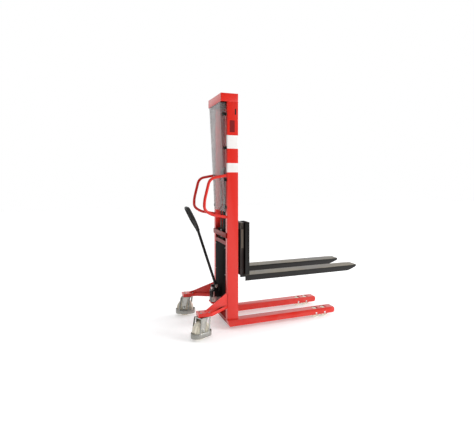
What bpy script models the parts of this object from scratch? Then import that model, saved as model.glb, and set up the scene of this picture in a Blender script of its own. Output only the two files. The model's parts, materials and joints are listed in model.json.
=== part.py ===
"""Hand-hydraulic pallet stacker: two fixed uprights, one lifting cylinder with a chained fork carriage,
a pump tiller, two push handles, four load rollers in the base legs and two swivel castors with foot guards.

Metres, +Z up, +X towards the fork tips, +Y towards the machine's left. Inside this file X = 0 is the
rear face of the uprights; the empty "machine" then puts the origin on the floor under the middle.
The forks are modelled part way up, and the tiller at its resting lean.
"""

import math

import bmesh
import bpy
from mathutils import Matrix, Vector

# ---- driving dimensions -------------------------------------------------------------------------
GAP = 0.0003
SIDES = {"right": -1.0, "left": 1.0}

MAST_HALF_WIDTH = 0.240
UPRIGHT_DEPTH = 0.098
UPRIGHT_FLANGE = 0.008
UPRIGHT_WEB = 0.006
UPRIGHT_INNER = 0.185
UPRIGHT_TOP = 1.979
MAST_TOP = 2.053
CROWN_REAR = -0.056
CROWN_WALL = 0.006

LEG_INNER = 0.160
LEG_OUTER = 0.259
LEG_BOTTOM = 0.028
LEG_TOP = 0.082
LEG_TIP = 1.041
LEG_WALL = 0.005
LOAD_ROLLER_RADIUS = 0.040
LOAD_ROLLER_LENGTH = 0.070
LOAD_ROLLER_X = {"rear": 0.850, "front": 0.938}
AXLE_RADIUS = 0.007

FORK_LOWERED_TOP = 0.092
FORK_TOP = 0.467
FORK_BOTTOM = 0.417
FORK_REAR = 0.152
FORK_FRONT = 0.190
FORK_TIP = 1.299
FORK_INNER = 0.112
FORK_OUTER = 0.272
FORK_PLATE = 0.006
FORK_SIDE = 0.005
SHANK_TOP = 0.929

ROD_DOWN = (FORK_TOP - FORK_LOWERED_TOP) / 2
CYLINDER_X = 0.052
CYLINDER_RADIUS = 0.030
CYLINDER_BORE = 0.024
CYLINDER_FOOT = 0.200
CYLINDER_TOP = 1.080
GLAND_TOP = 1.115
ROD_RADIUS = 0.0175
ROD_BOTTOM = CYLINDER_FOOT + 0.015 + ROD_DOWN
YOKE_BOTTOM = GLAND_TOP + 0.010 + ROD_DOWN
SHEAVE_Z = YOKE_BOTTOM + 0.055
SHEAVE_GROOVE = 0.038
SHEAVE_FLANGE = 0.046
CHAIN_HALF_WIDTH = 0.008
CHAIN_HEIGHT = 0.0117
CHAIN_REAR_X = CYLINDER_X - SHEAVE_GROOVE - GAP - CHAIN_HEIGHT / 2
CHAIN_REAR_START = 0.850
CHAIN_ANCHOR_Z = 0.690

CARRIAGE_BOTTOM = 0.465
CARRIAGE_TOP = 0.925
CARRIAGE_ROLLER_RADIUS = 0.040
CARRIAGE_ROLLER_X = 0.049
CARRIAGE_PIN_RADIUS = 0.012
CARRIAGE_ROLLER_Z = {"lower": 0.508, "upper": 0.802}

CASTOR_X = -0.222
CASTOR_Y = 0.347
CASTOR_TURN = math.radians(25)
CASTOR_TRAIL = 0.035
CASTOR_WHEEL_RADIUS = 0.075
CASTOR_TOP = 0.2057
GUARD_REAR = -0.070
GUARD_FRONT = 0.008
GUARD_RADIUS = 0.052
GUARD_SHEET = 0.003
ARM_TOP = 0.214
ARM_BOTTOM = 0.185

PUMP_PIVOT = (-0.043, 0.340)
PUMP_REAR = -0.091
PLUNGER_X = -0.075
VALVE_X = -0.073
VALVE_Z = 0.262
CAM_RADIUS = 0.012
TILLER_LEAN = math.radians(17.5)
TILLER_LENGTH = 0.540
GRIP_LEAN = math.radians(26)

# The rearmost points are on the castors' foot guards, swung outwards with the trailing wheels.
REAR_X = CASTOR_X + GUARD_REAR * math.cos(CASTOR_TURN) - GUARD_RADIUS
MACHINE_X = -(FORK_TIP + REAR_X) / 2


# ---- scene and shared tools ---------------------------------------------------------------------
for old in list(bpy.data.objects):
    bpy.data.objects.remove(old, do_unlink=True)

FINISHES = {
    "red_paint": ((0.72, 0.045, 0.030), 0.32, 0.0),
    "black_paint": ((0.012, 0.012, 0.013), 0.30, 0.0),
    "bright_steel": ((0.62, 0.62, 0.63), 0.25, 1.0),
    "dark_steel": ((0.16, 0.15, 0.14), 0.45, 1.0),
    "zinc_plate": ((0.58, 0.60, 0.62), 0.35, 0.9),
    "nylon": ((0.86, 0.82, 0.70), 0.45, 0.0),
    "clear_sheet": ((0.80, 0.83, 0.84), 0.12, 0.0),
    "black_rubber": ((0.020, 0.020, 0.020), 0.75, 0.0),
}


def finish(name):
    """One Principled material per finish, made on its first use."""
    found = bpy.data.materials.get(name)
    if found:
        return found
    colour, roughness, metallic = FINISHES[name]
    made = bpy.data.materials.new(name)
    made.use_nodes = True
    shader = made.node_tree.nodes["Principled BSDF"]
    shader.inputs["Base Color"].default_value = (*colour, 1.0)
    shader.inputs["Roughness"].default_value = roughness
    shader.inputs["Metallic"].default_value = metallic
    return made


def empty(name, location=(0, 0, 0), parent=None, turn=0.0):
    """A frame to hang pieces on, turned about Z."""
    frame = bpy.data.objects.new(name, None)
    bpy.context.collection.objects.link(frame)
    frame.location = location
    frame.rotation_euler = (0, 0, turn)
    frame.parent = parent
    return frame


MACHINE = empty("machine", (MACHINE_X, 0, 0))

AXES = {"x": (0, 1, 2), "y": (1, 0, 2), "z": (2, 0, 1)}


def prism(outline, axis, low, high):
    """A polygon carried from low to high along an axis; its points give the other two axes in order."""
    along, first, second = AXES[axis]
    body = bmesh.new()
    verts = []
    for u, v in outline:
        point = [0.0, 0.0, 0.0]
        point[along], point[first], point[second] = low, u, v
        verts.append(body.verts.new(point))
    face = body.faces.new(verts)
    grown = bmesh.ops.extrude_face_region(body, geom=[face])
    step = [0.0, 0.0, 0.0]
    step[along] = high - low
    moved = [item for item in grown["geom"] if isinstance(item, bmesh.types.BMVert)]
    bmesh.ops.translate(body, vec=step, verts=moved)
    bmesh.ops.recalc_face_normals(body, faces=body.faces)
    return body


def block(x, y, z):
    """A box from three (low, high) pairs."""
    return prism([(x[0], y[0]), (x[1], y[0]), (x[1], y[1]), (x[0], y[1])], "z", z[0], z[1])


def arc(centre, radius, first, last, steps):
    """Points along an arc, angles in degrees."""
    turns = [math.radians(first + (last - first) * i / steps) for i in range(steps + 1)]
    return [(centre[0] + radius * math.cos(a), centre[1] + radius * math.sin(a)) for a in turns]


def turned(profile, axis, centre, steps=32):
    """A closed (radius, height) profile spun once about an axis through the centre."""
    body = bmesh.new()
    verts = [body.verts.new((radius, 0.0, height)) for radius, height in profile]
    ring = profile[0][0] > 0
    following = verts[1:] + verts[:1] if ring else verts[1:]
    edges = [body.edges.new(pair) for pair in zip(verts, following)]
    bmesh.ops.spin(body, geom=verts + edges, cent=(0, 0, 0), axis=(0, 0, 1), angle=2 * math.pi,
                   steps=steps, use_merge=True)
    bmesh.ops.remove_doubles(body, verts=body.verts, dist=0.00002)
    if axis == "y":
        bmesh.ops.rotate(body, verts=body.verts, matrix=Matrix.Rotation(math.pi / 2, 3, "X"))
    bmesh.ops.translate(body, verts=body.verts, vec=centre)
    bmesh.ops.recalc_face_normals(body, faces=body.faces)
    return body


def pin(axis, centre, radius, half_length, steps=16):
    """A plain round bar centred on a point."""
    return turned([(0, -half_length), (radius, -half_length), (radius, half_length), (0, half_length)],
                  axis, centre, steps)


def swept(points, radius, sides=12, closed=False):
    """A round bar along a path of points, each ring square to the path."""
    points = [Vector(p) for p in points]
    count = len(points)
    body = bmesh.new()
    rings = []
    normal = None
    for i, point in enumerate(points):
        before = points[i - 1] if closed or i else point
        after = points[(i + 1) % count] if closed or i < count - 1 else point
        ahead = (after - before).normalized()
        if normal is None:
            normal = ahead.cross(Vector((0.31, 0.95, 0.17))).normalized()
        normal = (normal - ahead * normal.dot(ahead)).normalized()
        other = ahead.cross(normal)
        ring = []
        for step in range(sides):
            angle = 2 * math.pi * step / sides
            offset = normal * (radius * math.cos(angle)) + other * (radius * math.sin(angle))
            ring.append(body.verts.new(point + offset))
        rings.append(ring)
    last = count if closed else count - 1
    for i in range(last):
        one, two = rings[i], rings[(i + 1) % count]
        for step in range(sides):
            after = (step + 1) % sides
            body.faces.new((one[step], one[after], two[after], two[step]))
    if not closed:
        body.faces.new(rings[0][::-1])
        body.faces.new(rings[-1])
    bmesh.ops.recalc_face_normals(body, faces=body.faces)
    return body


def rounded(points, radius, steps=5, closed=False):
    """A path of straight runs with every inner corner turned into an arc-like curve."""
    points = [Vector(p) for p in points]
    count = len(points)
    path = []
    for i, corner in enumerate(points):
        if not closed and i in (0, count - 1):
            path.append(corner)
            continue
        before, after = points[i - 1], points[(i + 1) % count]
        reach = min(radius, (before - corner).length / 2, (after - corner).length / 2)
        start = corner + (before - corner).normalized() * reach
        end = corner + (after - corner).normalized() * reach
        for step in range(steps + 1):
            t = step / steps
            path.append(start * (1 - t) ** 2 + corner * 2 * t * (1 - t) + end * t ** 2)
    return [point for i, point in enumerate(path) if (point - path[i - 1]).length > 1e-6]


def linked(name, body, origin, parent, turn=0.0):
    """Put a body in the scene with its origin at a point of its parent's frame."""
    bmesh.ops.translate(body, verts=body.verts, vec=-Vector(origin))
    mesh = bpy.data.meshes.new(name)
    body.to_mesh(mesh)
    mesh.shade_smooth()
    mesh.set_sharp_from_angle(angle=math.radians(35))
    piece = bpy.data.objects.new(name, mesh)
    bpy.context.collection.objects.link(piece)
    piece.parent = parent
    piece.location = origin
    piece.rotation_euler = (0, 0, turn)
    return piece


def make(name, look, body, welded=(), cuts=(), kept=None, origin=(0, 0, 0), parent=MACHINE):
    """A named sub-part: a body with others welded on, cuts taken out, and kept inside one outline."""
    piece = linked(name, body, origin, parent)
    piece.data.materials.append(finish(look))
    steps = [("UNION", extra) for extra in welded]
    steps += [("INTERSECT", kept)] if kept else []
    steps += [("DIFFERENCE", cut) for cut in cuts]
    for number, (operation, tool) in enumerate(steps):
        helper = linked(f"{name}.tool{number}", tool, origin, parent)
        helper.hide_render = True
        helper.display_type = "WIRE"
        change = piece.modifiers.new(f"{operation.lower()}{number}", "BOOLEAN")
        change.operation = operation
        change.object = helper
        change.solver = "EXACT"
    return piece


def inset(outline, distance):
    """A polygon's outline moved inwards by a distance."""
    points = [Vector(p) for p in outline]
    count = len(points)
    area = sum(points[i - 1].cross(points[i]) for i in range(count))
    turn = 1.0 if area > 0 else -1.0
    moved = []
    for i, corner in enumerate(points):
        back = (corner - points[i - 1]).normalized()
        ahead = (points[(i + 1) % count] - corner).normalized()
        normal_back = Vector((-back.y, back.x)) * turn
        normal_ahead = Vector((-ahead.y, ahead.x)) * turn
        bisector = (normal_back + normal_ahead).normalized()
        moved.append(tuple(corner + bisector * (distance / bisector.dot(normal_back))))
    return moved


def mirrored(outline, side):
    """The same plan outline on the machine's right or left side."""
    return [(x, side * y) for x, y in outline]


def span(side, low, high):
    """A (low, high) pair in Y on one side of the machine."""
    return (side * high, side * low) if side < 0 else (side * low, side * high)


# ---- base: two legs joined by a channel, with tandem load rollers near the tips -------------------
def base_leg(name, side):
    """An upside-down channel with slanted heel, two roller windows and four axle holes."""
    outline = [(0.0, LEG_TOP), (0.018, LEG_BOTTOM), (LEG_TIP - 0.012, LEG_BOTTOM),
               (LEG_TIP, LEG_BOTTOM + 0.012), (LEG_TIP, LEG_TOP - 0.011), (LEG_TIP - 0.011, LEG_TOP)]
    hollow = [(0.008, LEG_TOP - LEG_WALL), (0.026, LEG_BOTTOM - 0.010),
              (LEG_TIP - 0.008, LEG_BOTTOM - 0.010), (LEG_TIP - 0.008, LEG_TOP - LEG_WALL)]
    inner = span(side, LEG_INNER + LEG_WALL, LEG_OUTER - LEG_WALL)
    outer = span(side, LEG_INNER, LEG_OUTER)
    cuts = [prism(hollow, "y", *inner)]
    middle = side * (LEG_INNER + LEG_OUTER) / 2
    for x in LOAD_ROLLER_X.values():
        cuts.append(block((x - 0.023, x + 0.023), (middle - 0.038, middle + 0.038), (0.070, 0.090)))
        cuts.append(pin("y", (x, middle, LOAD_ROLLER_RADIUS), AXLE_RADIUS + GAP, 0.060, 12))
    make(name, "red_paint", prism(outline, "y", *outer), cuts=cuts)


def load_rollers():
    """Four nylon rollers, each on its own steel axle across a leg."""
    half = LOAD_ROLLER_LENGTH / 2
    radius = LOAD_ROLLER_RADIUS
    bore = AXLE_RADIUS + GAP
    profile = [(bore, -half), (radius - 0.003, -half), (radius, -half + 0.003), (radius, half - 0.003),
               (radius - 0.003, half), (bore, half)]
    for side_name, side in SIDES.items():
        middle = side * (LEG_INNER + LEG_OUTER) / 2
        for place, x in LOAD_ROLLER_X.items():
            centre = (x, middle, radius)
            make(f"load_roller_{side_name}_{place}", "nylon", turned(profile, "y", centre, 28),
                 origin=centre)
            make(f"load_roller_axle_{side_name}_{place}", "bright_steel",
                 pin("y", centre, AXLE_RADIUS, (LEG_OUTER - LEG_INNER) / 2 - 0.0002, 12), origin=centre)


def base_crossmember():
    """The channel that ties the legs under the mast."""
    outline = [(0.0, LEG_TOP), (0.018, LEG_BOTTOM), (UPRIGHT_DEPTH, LEG_BOTTOM), (UPRIGHT_DEPTH, LEG_TOP)]
    hollow = [(0.008, LEG_TOP - 0.006), (0.026, LEG_BOTTOM - 0.010),
              (UPRIGHT_DEPTH - 0.006, LEG_BOTTOM - 0.010), (UPRIGHT_DEPTH - 0.006, LEG_TOP - 0.006)]
    reach = LEG_INNER - GAP
    make("base_crossmember", "red_paint", prism(outline, "y", -reach, reach),
         cuts=[prism(hollow, "y", -reach - 0.010, reach + 0.010)])


def mast_foot_plate():
    """The shelf between the uprights that carries the cylinder and, behind it, the pump."""
    reach = UPRIGHT_INNER - GAP
    half = [(PUMP_REAR - 0.004, 0.060), (PUMP_PIVOT[0], 0.060), (0.0, reach), (0.014, reach),
            (0.014, 0.062), (0.092, 0.062)]
    outline = half + [(x, -y) for x, y in reversed(half)]
    make("mast_foot_plate", "red_paint", prism(outline, "z", CYLINDER_FOOT - 0.010, CYLINDER_FOOT))


# ---- mast ---------------------------------------------------------------------------------------
def upright(name, side):
    """A rolled channel with its web outside and its flanges turned in, where the rollers run."""
    web_inside = MAST_HALF_WIDTH - UPRIGHT_WEB
    front = UPRIGHT_DEPTH - UPRIGHT_FLANGE
    outline = [(0.0, UPRIGHT_INNER), (0.0, MAST_HALF_WIDTH), (UPRIGHT_DEPTH, MAST_HALF_WIDTH),
               (UPRIGHT_DEPTH, UPRIGHT_INNER), (front, UPRIGHT_INNER), (front, web_inside),
               (UPRIGHT_FLANGE, web_inside), (UPRIGHT_FLANGE, UPRIGHT_INNER)]
    make(name, "red_paint", prism(mirrored(outline, side), "z", LEG_TOP + GAP, UPRIGHT_TOP))


def crown():
    """The folded cap that ties the upright tops and stands proud behind them."""
    wall = CROWN_WALL
    outside = block((CROWN_REAR, UPRIGHT_DEPTH), (-MAST_HALF_WIDTH, MAST_HALF_WIDTH),
                    (UPRIGHT_TOP + GAP, MAST_TOP))
    inside = block((CROWN_REAR + wall, UPRIGHT_DEPTH - wall),
                   (-MAST_HALF_WIDTH + wall, MAST_HALF_WIDTH - wall), (UPRIGHT_TOP - 0.010, MAST_TOP - wall))
    make("crown_cap", "red_paint", outside, cuts=[inside])


def mast_crossbar():
    """The flat bar across the backs of the uprights, and the bracket and bolt that anchor the chain."""
    make("mast_crossbar", "red_paint",
         block((-0.0103, -GAP), (-0.232, 0.232), (0.793, 0.836)))
    low, high = 0.805, 0.825
    make("chain_anchor_bracket", "dark_steel",
         block((0.0, CYLINDER_X - CYLINDER_RADIUS - GAP), (-0.030, 0.030), (low, high)),
         cuts=[pin("z", (CHAIN_REAR_X, 0, low), 0.005 + GAP, 0.040)])
    bolt = [(0, low - 0.025), (0.005, low - 0.025), (0.005, low - 0.010), (0.0075, low - 0.010),
            (0.0075, low - GAP), (0.005, low - GAP), (0.005, CHAIN_REAR_START), (0, CHAIN_REAR_START)]
    make("chain_anchor_bolt", "bright_steel", turned(bolt, "z", (CHAIN_REAR_X, 0, 0), 12))


def guard():
    """A clear folded sheet behind the chain, deep under the crown and shallow at its lower end."""
    sheet = 0.004
    bottom, top = 1.022, UPRIGHT_TOP - 0.004
    half = 0.200
    outline = [(-0.0004, bottom), (-0.008, bottom), (CROWN_REAR, top), (-0.0004, top)]
    hollow = [(0.002, bottom - 0.010), (-0.008 + sheet + 0.0005, bottom - 0.010),
              (CROWN_REAR + sheet - 0.0005, top + 0.010), (0.002, top + 0.010)]
    make("guard_panel", "clear_sheet", prism(outline, "y", -half, half),
         cuts=[prism(hollow, "y", -half + sheet, half - sheet)])


def rear_cover():
    """The black sheet that closes the mast behind the foot of the cylinder."""
    reach = UPRIGHT_INNER - 2 * GAP
    make("rear_cover", "black_paint", block((0.0, 0.003), (-reach, reach), (0.210, 0.720)))


def push_handle(name, side):
    """A bent tube loop welded to the back of an upright."""
    y = side * 0.222
    path = [(-0.0008, 1.340), (-0.148, 1.312), (-0.194, 1.120), (-0.194, 1.045), (-0.134, 1.002),
            (-0.0008, 0.976)]
    points = rounded([(x, y, z) for x, z in path], 0.045, 4)
    trim = block((-0.300, -0.0004), (y - 0.030, y + 0.030), (0.900, 1.400))
    points[0].x = 0.010
    points[-1].x = 0.010
    make(name, "red_paint", swept(points, 0.0125, 10), kept=trim)


# ---- cylinder, rod, sheaves and chains ------------------------------------------------------------
def cylinder():
    """The lifting cylinder's tube and the screwed gland that the rod leaves through."""
    tube = [(0, CYLINDER_FOOT + GAP), (CYLINDER_RADIUS, CYLINDER_FOOT + GAP),
            (CYLINDER_RADIUS, CYLINDER_TOP), (CYLINDER_BORE, CYLINDER_TOP),
            (CYLINDER_BORE, CYLINDER_FOOT + 0.010), (0, CYLINDER_FOOT + 0.010)]
    make("cylinder_tube", "black_paint", turned(tube, "z", (CYLINDER_X, 0, 0), 24))
    low = CYLINDER_TOP + GAP
    gland = [(ROD_RADIUS + GAP, low), (0.031, low), (0.031, GLAND_TOP - 0.003), (0.028, GLAND_TOP),
             (ROD_RADIUS + GAP, GLAND_TOP)]
    make("cylinder_gland", "zinc_plate", turned(gland, "z", (CYLINDER_X, 0, 0), 24))


def lifting_rod():
    """The rod with its piston, and the yoke and pin on its end that hold the sheaves."""
    top = YOKE_BOTTOM - GAP
    piston = CYLINDER_BORE - 0.0004
    rod = [(0, ROD_BOTTOM), (piston, ROD_BOTTOM), (piston, ROD_BOTTOM + 0.030),
           (ROD_RADIUS, ROD_BOTTOM + 0.030), (ROD_RADIUS, top), (0, top)]
    make("piston_rod", "bright_steel", turned(rod, "z", (CYLINDER_X, 0, 0), 24),
         origin=(CYLINDER_X, 0, ROD_BOTTOM))
    base = block((CYLINDER_X - 0.020, CYLINDER_X + 0.020), (-0.021, 0.021),
                 (YOKE_BOTTOM, YOKE_BOTTOM + 0.0055))
    cheek = [(CYLINDER_X - 0.018, YOKE_BOTTOM + 0.001), (CYLINDER_X + 0.018, YOKE_BOTTOM + 0.001)] \
        + arc((CYLINDER_X, SHEAVE_Z), 0.018, 0, 180, 8)
    cheeks = [prism(cheek, "y", *span(side, 0.014, 0.0215)) for side in SIDES.values()]
    make("sheave_yoke", "dark_steel", base, welded=cheeks,
         cuts=[pin("y", (CYLINDER_X, 0, SHEAVE_Z), 0.010 + GAP, 0.060)],
         origin=(CYLINDER_X, 0, YOKE_BOTTOM))
    shaft = [(0, -0.028), (0.014, -0.028), (0.014, -0.0218), (0.010, -0.0218), (0.010, 0.026),
             (0, 0.026)]
    centre = (CYLINDER_X, 0, SHEAVE_Z)
    make("sheave_pin", "bright_steel", turned(shaft, "y", centre, 20), origin=centre)


def sheave():
    """The flanged chain wheel that turns on the pin."""
    bore, half = 0.010 + GAP, 0.0115
    profile = [(bore, -half), (SHEAVE_FLANGE, -half), (SHEAVE_FLANGE, -half + 0.002),
               (SHEAVE_GROOVE, -half + 0.0028), (SHEAVE_GROOVE, half - 0.0028),
               (SHEAVE_FLANGE, half - 0.002), (SHEAVE_FLANGE, half), (bore, half)]
    centre = (CYLINDER_X, 0, SHEAVE_Z)
    make("chain_sheave", "dark_steel", turned(profile, "y", centre, 24), origin=centre)


def chain():
    """The stretches of the leaf chain that are there at every height of the carriage."""
    inner = SHEAVE_GROOVE + GAP
    outer = inner + CHAIN_HEIGHT
    lowest_sheave = SHEAVE_Z - ROD_DOWN
    width = (-CHAIN_HALF_WIDTH, CHAIN_HALF_WIDTH)
    centre = (CYLINDER_X, SHEAVE_Z)
    make("chain_over_sheave", "dark_steel",
         prism(arc(centre, outer, 0, 180, 14) + arc(centre, inner, 180, 0, 14), "y", *width),
         origin=(CYLINDER_X, 0, SHEAVE_Z))
    rear_run = (CHAIN_REAR_START + GAP, lowest_sheave - GAP)
    make("chain_rear_run", "dark_steel",
         block((CYLINDER_X - outer, CYLINDER_X - inner), width, rear_run))
    make("chain_front_run", "dark_steel",
         block((CYLINDER_X + inner, CYLINDER_X + outer), width,
               (CHAIN_ANCHOR_Z + GAP, CHAIN_ANCHOR_Z + 0.095)),
         origin=(CYLINDER_X, 0, CHAIN_ANCHOR_Z))


# ---- carriage and forks ---------------------------------------------------------------------------
CARRIAGE_ORIGIN = (CARRIAGE_ROLLER_X, 0, CARRIAGE_BOTTOM)


def carriage():
    """Side plates with stub pins inside the mast, bars and end plates before it, and the chain's lug."""
    plate = [(0.020, CARRIAGE_BOTTOM), (0.150, CARRIAGE_BOTTOM), (0.150, CARRIAGE_TOP - 0.002),
             (0.110, CARRIAGE_TOP - 0.002), (0.110, 0.846), (0.020, 0.846)]
    front = FORK_REAR - GAP
    low, high = 0.170, 0.2325
    welded = [block((0.114, front), (-0.238, 0.238), (0.866, CARRIAGE_TOP)),
              block((0.120, front - 0.004), (-0.169, 0.169), (0.655, 0.694)),
              block((0.088, 0.125), (-0.015, 0.015), (0.668, CHAIN_ANCHOR_Z))]
    for side in SIDES.values():
        welded.append(prism(plate, "y", *span(side, 0.165, 0.173)))
        welded.append(block((0.116, front - 0.003), span(side, 0.231, 0.237), (0.520, 0.870)))
        for z in CARRIAGE_ROLLER_Z.values():
            centre = (CARRIAGE_ROLLER_X, side * (low + high) / 2, z)
            welded.append(pin("y", centre, CARRIAGE_PIN_RADIUS, (high - low) / 2))
    make("carriage_frame", "black_paint",
         block((0.114, front), (-0.238, 0.238), (CARRIAGE_BOTTOM - 0.001, 0.524)), welded=welded,
         origin=CARRIAGE_ORIGIN)


def carriage_rollers():
    """Four steel rollers on the carriage's stub pins, running between the upright flanges."""
    bore, radius = CARRIAGE_PIN_RADIUS + GAP, CARRIAGE_ROLLER_RADIUS
    profile = [(bore, -0.018), (radius - 0.002, -0.018), (radius, -0.016), (radius, 0.016),
               (radius - 0.002, 0.018), (bore, 0.018)]
    for level, z in CARRIAGE_ROLLER_Z.items():
        for side_name, side in SIDES.items():
            centre = (CARRIAGE_ROLLER_X, side * 0.210, z)
            make(f"carriage_roller_{level}_{side_name}", "dark_steel", turned(profile, "y", centre, 24),
                 origin=centre)


def fork(name, side):
    """A fork pressed from plate: a channel blade with a tapered nose and a channel shank behind."""
    nose_x = FORK_TIP - 0.119
    outline = [(FORK_REAR, FORK_BOTTOM), (nose_x, FORK_BOTTOM), (FORK_TIP - 0.004, FORK_TOP - 0.020),
               (FORK_TIP, FORK_TOP - 0.014), (FORK_TIP - 0.003, FORK_TOP - 0.006),
               (FORK_TIP - 0.014, FORK_TOP), (FORK_FRONT, FORK_TOP), (FORK_FRONT, SHANK_TOP),
               (FORK_REAR, SHANK_TOP)]
    taper_x = FORK_TIP - 0.090
    plan = [(FORK_REAR - 0.010, FORK_INNER), (taper_x, FORK_INNER), (FORK_TIP - 0.012, FORK_INNER + 0.022),
            (FORK_TIP + 0.001, FORK_INNER + 0.040), (FORK_TIP + 0.001, FORK_OUTER - 0.040),
            (FORK_TIP - 0.012, FORK_OUTER - 0.022), (taper_x, FORK_OUTER), (FORK_REAR - 0.010, FORK_OUTER)]
    inside = span(side, FORK_INNER + FORK_SIDE, FORK_OUTER - FORK_SIDE)
    blade_hollow = block((FORK_REAR - 0.010, taper_x), inside, (FORK_BOTTOM - 0.010, FORK_TOP - FORK_PLATE))
    shank_hollow = block((FORK_REAR - 0.010, FORK_FRONT - 0.008), inside, (FORK_TOP, SHANK_TOP + 0.010))
    make(name, "black_paint", prism(outline, "y", *span(side, FORK_INNER, FORK_OUTER)),
         kept=prism(mirrored(plan, side), "z", FORK_BOTTOM - 0.010, SHANK_TOP + 0.010),
         cuts=[blade_hollow, shank_hollow], origin=CARRIAGE_ORIGIN)


# ---- pump and tiller ------------------------------------------------------------------------------
def pump():
    """The pump block with its plunger well, filler plug, plunger and return spring."""
    pivot_x, pivot_z = PUMP_PIVOT
    body = block((PUMP_REAR, -0.0063), (-0.040, 0.040), (CYLINDER_FOOT + GAP, 0.298))
    ear = [(pivot_x - 0.016, 0.290), (pivot_x + 0.016, 0.290)] \
        + arc(PUMP_PIVOT, 0.016, 0, 180, 8)
    ears = [prism(ear, "y", *span(side, 0.024, 0.032)) for side in SIDES.values()]
    well = turned([(0, 0.212), (0.0093, 0.212), (0.0093, 0.238), (0.018, 0.238), (0.018, 0.310),
                   (0, 0.310)], "z", (PLUNGER_X, 0, 0), 16)
    bore = pin("y", (pivot_x, 0, pivot_z), 0.0073, 0.050)
    valve_bore = pin("y", (VALVE_X, -0.040, VALVE_Z), 0.0063, 0.014)
    make("pump_body", "black_paint", body, welded=ears, cuts=[well, bore, valve_bore])
    top = pivot_z - CAM_RADIUS - 0.0004
    plunger = [(0, 0.245), (0.009, 0.245), (0.009, top - 0.008), (0.015, top - 0.008), (0.015, top),
               (0, top)]
    make("pump_plunger", "bright_steel", turned(plunger, "z", (PLUNGER_X, 0, 0), 20),
         origin=(PLUNGER_X, 0, top))
    wire, turns, steps = 0.0014, 6, 9
    low, high = 0.238 + GAP + wire, top - 0.008 - GAP - wire
    coil = []
    for i in range(turns * steps + 1):
        angle = 2 * math.pi * i / steps
        height = low + (high - low) * i / (turns * steps)
        coil.append((PLUNGER_X + 0.0130 * math.cos(angle), 0.0130 * math.sin(angle), height))
    make("pump_spring", "bright_steel", swept(coil, wire, 4), origin=(PLUNGER_X, 0, top))
    cap = [(0, 0.298 + GAP), (0.008, 0.298 + GAP), (0.008, 0.306), (0, 0.306)]
    make("filler_plug", "zinc_plate", turned(cap, "z", (PLUNGER_X - 0.002, 0.028, 0), 6))


def tiller():
    """The pump lever: a hub with a cam on the plunger, a long tube and a looped grip."""
    pivot = Vector((PUMP_PIVOT[0], 0, PUMP_PIVOT[1]))
    lean = Vector((-math.sin(TILLER_LEAN), 0, math.cos(TILLER_LEAN)))
    hub = pin("y", pivot, 0.020, 0.0237, 24)
    cam = pin("y", (PLUNGER_X, 0, pivot.z), CAM_RADIUS, 0.009, 20)
    arm = block((PLUNGER_X, pivot.x), (-0.009, 0.009), (pivot.z - 0.006, pivot.z + 0.010))
    tube = swept([pivot + lean * 0.005, pivot + lean * TILLER_LENGTH], 0.012, 14)
    make("tiller_tube", "black_paint", hub, welded=[cam, arm, tube],
         cuts=[pin("y", pivot, 0.0073, 0.050)], origin=pivot)
    bolt = [(0, -0.038), (0.011, -0.038), (0.011, -0.032 - GAP), (0.007, -0.032 - GAP), (0.007, 0.038),
            (0, 0.038)]
    make("tiller_pin", "zinc_plate", turned(bolt, "y", pivot, 16))

    end = pivot + lean * TILLER_LENGTH
    up = Vector((-math.sin(GRIP_LEAN), 0, math.cos(GRIP_LEAN)))
    across = Vector((0, 1, 0))
    corners = [(-0.028, 0.016), (-0.078, 0.094), (-0.068, 0.216), (0.068, 0.216), (0.078, 0.094),
               (0.028, 0.016)]
    loop = rounded([end + across * v + up * w for v, w in corners], 0.030, 3, closed=True)
    stem = swept([end + lean * 0.0004, end + lean * 0.006, end + up * 0.016, end + up * 0.026], 0.016, 12)
    back = Vector((-math.cos(GRIP_LEAN), 0, -math.sin(GRIP_LEAN)))
    ears = []
    for side in SIDES.values():
        ear = [end + up * 0.022, end + up * 0.042]
        lug = swept([p + across * side * 0.0125 for p in ear], 0.0042, 6)
        ears.append(lug)
    make("tiller_grip", "black_rubber", swept(loop, 0.013, 10, closed=True), welded=[stem] + ears,
         origin=pivot)
    foot = end + up * 0.038
    lever = []
    for along, out in ((-0.0045, -0.002), (-0.0045, 0.002), (0.040, 0.005), (0.105, 0.016), (0.107, 0.010),
                       (0.042, -0.003)):
        point = foot + up * along + back * out
        lever.append((point.x, point.z))
    make("release_trigger", "black_rubber", prism(lever, "y", -0.0075, 0.0075), origin=foot)


def release_valve_lever():
    """The small arm on the pump's lowering valve."""
    centre = (VALVE_X, -0.040, VALVE_Z)
    spindle = pin("y", (centre[0], -0.046, centre[2]), 0.006, 0.012)
    arm = [(centre[0] + 0.007, centre[2] - 0.008), (centre[0] + 0.005, centre[2] + 0.036),
           (centre[0] - 0.005, centre[2] + 0.036), (centre[0] - 0.007, centre[2] - 0.008)]
    make("release_valve_lever", "zinc_plate", spindle, welded=[prism(arm, "y", -0.056, -0.050)],
         origin=centre)


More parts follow.
